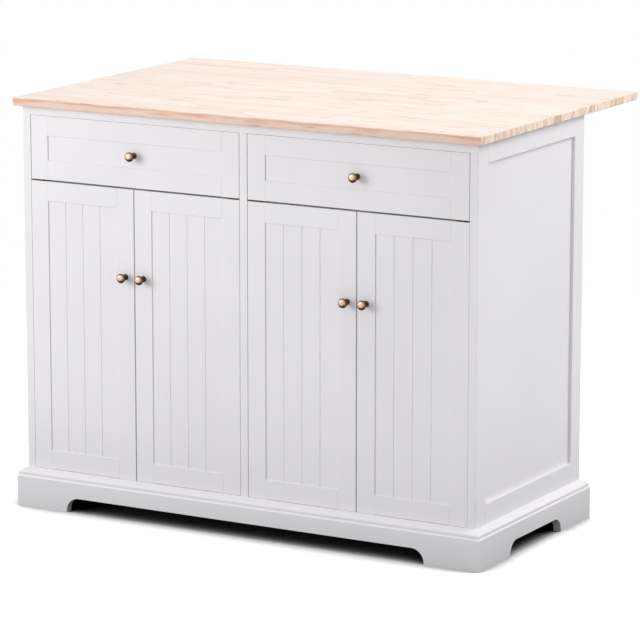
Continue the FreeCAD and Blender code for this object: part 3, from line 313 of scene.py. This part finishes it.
def brass():
    """Antique brass: a knob's face is rubbed pale, its rim, neck and base are left dark, and faces that
    look down are darkened as painted shade.
    """
    finish = Finish("antique_brass", Metallic=1.0)
    cloud = finish.noise(90.0, detail=4.0)
    fine = finish.noise(1400.0)
    forward = finish.remap(finish.facing(Y), -0.96, -0.50, 1.0, 0.0)
    outer = finish.remap(finish.axes()[Y], KNOB_TIP + RUBBED_DEPTH, KNOB_TIP + DARK_DEPTH, 1.0, 0.0)
    # Faces that look down get the dark tone: painted shade, standing for the dark floor they reflect.
    painted_light_from_above = finish.remap(finish.facing(Z), -0.42, 0.02)
    bright = finish.blend(finish.remap(fine, 0.3, 0.7), rgb(210, 181, 153), rgb(222, 195, 168))
    bright = finish.blend(finish.remap(cloud, 0.52, 0.75, 0.0, 0.35), bright, rgb(150, 112, 80))
    dark = finish.blend(finish.remap(cloud, 0.35, 0.68), rgb(64, 47, 31), rgb(104, 79, 52))
    tone = finish.blend(finish.times(finish.times(forward, outer), painted_light_from_above), dark, bright)
    return finish.wear(Base_Color=tone, Roughness=finish.remap(cloud, 0.3, 0.7, 0.40, 0.52),
                       Normal=finish.bump(fine, 0.02 * MM, 0.4))


def zinc():
    """Zinc plated steel: a cool cloudy sheen with fine drawing lines."""
    finish = Finish("zinc_steel", Metallic=1.0)
    cloud = finish.noise(60.0, detail=3.0)
    lines = finish.grain((3000.0, 60.0, 3000.0))
    tone = finish.blend(finish.remap(cloud, 0.35, 0.65), rgb(186, 189, 194), rgb(206, 208, 211))
    tone = finish.blend(finish.remap(cloud, 0.6, 0.75, 0.0, 0.3), tone, rgb(190, 186, 170))
    return finish.wear(Base_Color=tone, Roughness=finish.remap(lines, 0.3, 0.7, 0.26, 0.42),
                       Normal=finish.bump(lines, 0.01 * MM, 0.5))


# ---------------------------------------------------------------- each piece's finish
BY_SLOT = {
    "white_paint": white_paint(),
    "antique_brass": brass(),
    "zinc_steel": zinc(),
    "bare_pine": pine(),
    "bracket_white": powder_coat(),
}
# The pivots are as dark as the knobs' necks, so the line over the doors is dark all along: their colour
# is painted shade for the gap they sit in.
BY_NODE = {
    "worktop": Staves("butcher_block_top", joint=-266.5 * MM, width=38.0 * MM, seed=1.0).dressed(),
    "drop_leaf": Staves("butcher_block_leaf", joint=218.5 * MM, width=43.0 * MM, seed=2.0).dressed(),
    "door_pivots": BY_SLOT["antique_brass"],
}
for side in ("left", "right"):
    for part, ply_axis, grain_axis in (("sides", X, Y), ("back", Y, X), ("bottom", Z, X)):
        BY_NODE[f"{side}_drawer_{part}"] = plywood(f"birch_ply_{side}_{part}", ply_axis, grain_axis)

for name, piece in nodes.items():
    slot_name = piece.material_slots[0].material.name.split(".")[0]
    material = BY_NODE.get(name) or BY_SLOT[slot_name]
    for slot in piece.material_slots:
        slot.material = material


# ---------------------------------------------------------------- studio
MIDDLE = (0.0, 0.0, 0.45)           # what the lamps look at
AMBIENT = 0.6                       # the air's own light
FLOOR_SIZE = 80.0
# The floor's tone under the object is darker for the light it throws back: painted shade on the
# object's lower parts.
FLOOR_NEAR_SHADED, FLOOR_FAR, FLOOR_SEEN = 0.2, 0.6, 1.5
PALER_FROM, PALER_TO = 0.05, 0.45   # beyond the object
GLOW_FROM, GLOW_TO = 0.6, 2.0
# How far and how deep the painted shadow at the object's feet reaches.
PAINTED_SHADOW_REACH, PAINTED_SHADOW_DARK, PAINTED_SHADOW_LIGHT = 0.12, 0.2, 0.95


def softbox(name, place, width, height, power):
    """A rectangular lamp that looks at the middle of the object."""
    data = bpy.data.lights.new(name, "AREA")
    data.shape, data.size, data.size_y, data.energy = "RECTANGLE", width, height, power
    lamp = bpy.data.objects.new(name, data)
    scene.collection.objects.link(lamp)
    lamp.location = place
    lamp.rotation_euler = (Vector(MIDDLE) - Vector(place)).to_track_quat("-Z", "Y").to_euler()


def studio_air():
    """Soft light from all round, which the camera, a mirror and glass see as plain white."""
    world = bpy.data.worlds.new("studio_air")
    world.use_nodes = True
    air = Graph(world.node_tree)
    path = air.add("ShaderNodeLightPath").outputs
    seen = air.calc("MAXIMUM", path["Is Camera Ray"], path["Is Glossy Ray"])
    seen = air.calc("MAXIMUM", seen, path["Is Transmission Ray"])
    background = world.node_tree.nodes["Background"].inputs
    air.feed(background["Color"], (1.0, 1.0, 1.0, 1.0))
    air.feed(background["Strength"], air.remap(seen, 0.0, 1.0, AMBIENT, 1.0, smooth=False))
    scene.world = world


def floor_material():
    """Matt, darker under the object and paler beyond as painted shade for the light it throws back, and
    white to the camera except in shadow and in a painted shadow at the object's feet.
    """
    material = bpy.data.materials.new("studio_floor")
    material.use_nodes = True
    ground = Graph(material.node_tree)
    ground.tree.nodes.remove(ground.tree.nodes["Principled BSDF"])

    # How far a point of the floor lies outside the object's own rectangle.
    place = ground.add("ShaderNodeTexCoord").outputs["Object"]
    beyond = ground.vector_sum("ABSOLUTE", place)[0]
    beyond = ground.vector_sum("SUBTRACT", beyond, (cad_box[1][X], cad_box[1][Y], 0.0))[0]
    beyond = ground.vector_sum("MAXIMUM", beyond)[0]
    gap = ground.vector_sum("LENGTH", beyond)["Value"]

    seen = ground.add("ShaderNodeLightPath").outputs["Is Camera Ray"]
    # Darker near the object for bounced rays only: painted shade on the object's lower parts.
    pale = ground.remap(gap, PALER_FROM, PALER_TO, FLOOR_NEAR_SHADED, FLOOR_FAR)
    pale = ground.remap(seen, 0.0, 1.0, pale, FLOOR_SEEN, smooth=False)
    # Ambient occlusion darkens the floor around the object's feet: a painted shadow.
    sky = ground.add("ShaderNodeAmbientOcclusion", {"Distance": PAINTED_SHADOW_REACH}).outputs["AO"]
    painted_foot_shadow = ground.remap(sky, PAINTED_SHADOW_DARK, PAINTED_SHADOW_LIGHT)
    matt = ground.add("ShaderNodeBsdfDiffuse", {"Color": ground.times(painted_foot_shadow, pale)})
    glow = ground.add("ShaderNodeEmission", {"Color": (1.0, 1.0, 1.0, 1.0), "Strength": 1.0})
    share = ground.times(ground.remap(gap, GLOW_FROM, GLOW_TO), seen)
    both = ground.add("ShaderNodeMixShader", {0: share, 1: matt.outputs[0], 2: glow.outputs[0]})
    ground.feed(ground.tree.nodes["Material Output"].inputs["Surface"], both.outputs[0])
    return material


def floor():
    """A wide plane at the object's feet."""
    half = FLOOR_SIZE / 2
    mesh = bpy.data.meshes.new("studio_floor")
    mesh.from_pydata([(-half, -half, 0), (half, -half, 0), (half, half, 0), (-half, half, 0)], [],
                     [(0, 1, 2, 3)])
    mesh.materials.append(floor_material())
    ground = bpy.data.objects.new("studio_floor", mesh)
    scene.collection.objects.link(ground)


softbox("lamp_top", (0.0, 0.0, 3.4), width=1.8, height=1.8, power=20.0)
softbox("lamp_left", (-2.4, -3.3, 1.6), width=2.2, height=2.0, power=74.0)
softbox("lamp_right", (2.9, 1.2, 3.1), width=2.0, height=2.0, power=81.0)
studio_air()
floor()


# ---------------------------------------------------------------- camera
EYE = (4.0137, -7.0805, 2.0848)
TURN, TILT, FIELD = math.radians(29.64), math.radians(11.62), math.radians(9.736)
SENSOR_WIDTH = 36.0                 # in millimetres, as is the lens


def camera():
    """A long lens from the right of the front, a little above."""
    data = bpy.data.cameras.new("camera")
    eye = bpy.data.objects.new("camera", data)
    scene.collection.objects.link(eye)
    eye.location = EYE
    look = Vector((-math.sin(TURN) * math.cos(TILT), math.cos(TURN) * math.cos(TILT), -math.sin(TILT)))
    eye.rotation_euler = look.to_track_quat("-Z", "Y").to_euler()
    data.sensor_width = SENSOR_WIDTH
    data.lens = SENSOR_WIDTH / 2 / math.tan(FIELD / 2)
    data.clip_end = 200.0
    scene.camera = eye


camera()
scene.view_settings.view_transform = "Standard"
